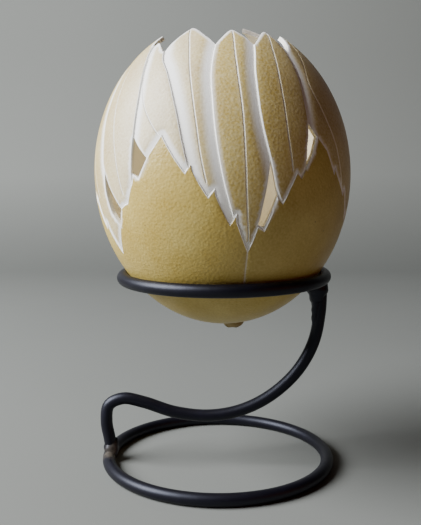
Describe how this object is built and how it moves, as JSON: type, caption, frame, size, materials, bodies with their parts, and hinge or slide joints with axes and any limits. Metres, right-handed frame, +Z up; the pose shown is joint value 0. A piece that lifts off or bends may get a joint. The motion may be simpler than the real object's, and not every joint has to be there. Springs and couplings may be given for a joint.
{
  "type": "carved ostrich egg on stand",
  "caption": "Carved ostrich egg, open at the top with overlapping petals, resting in the upper ring of a bent iron-rod stand.",
  "frame": {"origin": "on the table, under the middle of the whole object's box", "axes": "+Z up; -Y is the front, with the riser climbing to the right; +X is to the right seen from the front"},
  "size_m": [0.1222, 0.1224, 0.2131],
  "materials": {
    "eggshell": "natural ostrich eggshell, cream and finely pitted, ground to bare white along the carving",
    "filler": "ochre-brown filler, set hard and left rough",
    "painted_iron": "satin black paint on iron rod"
  },
  "bodies": {
    "root": {"eggshell": "eggshell", "hole_plug": "filler", "top_ring": "painted_iron", "base_ring": "painted_iron", "riser": "painted_iron", "base_weld": "painted_iron", "top_weld": "painted_iron"}
  },
  "joints": []
}
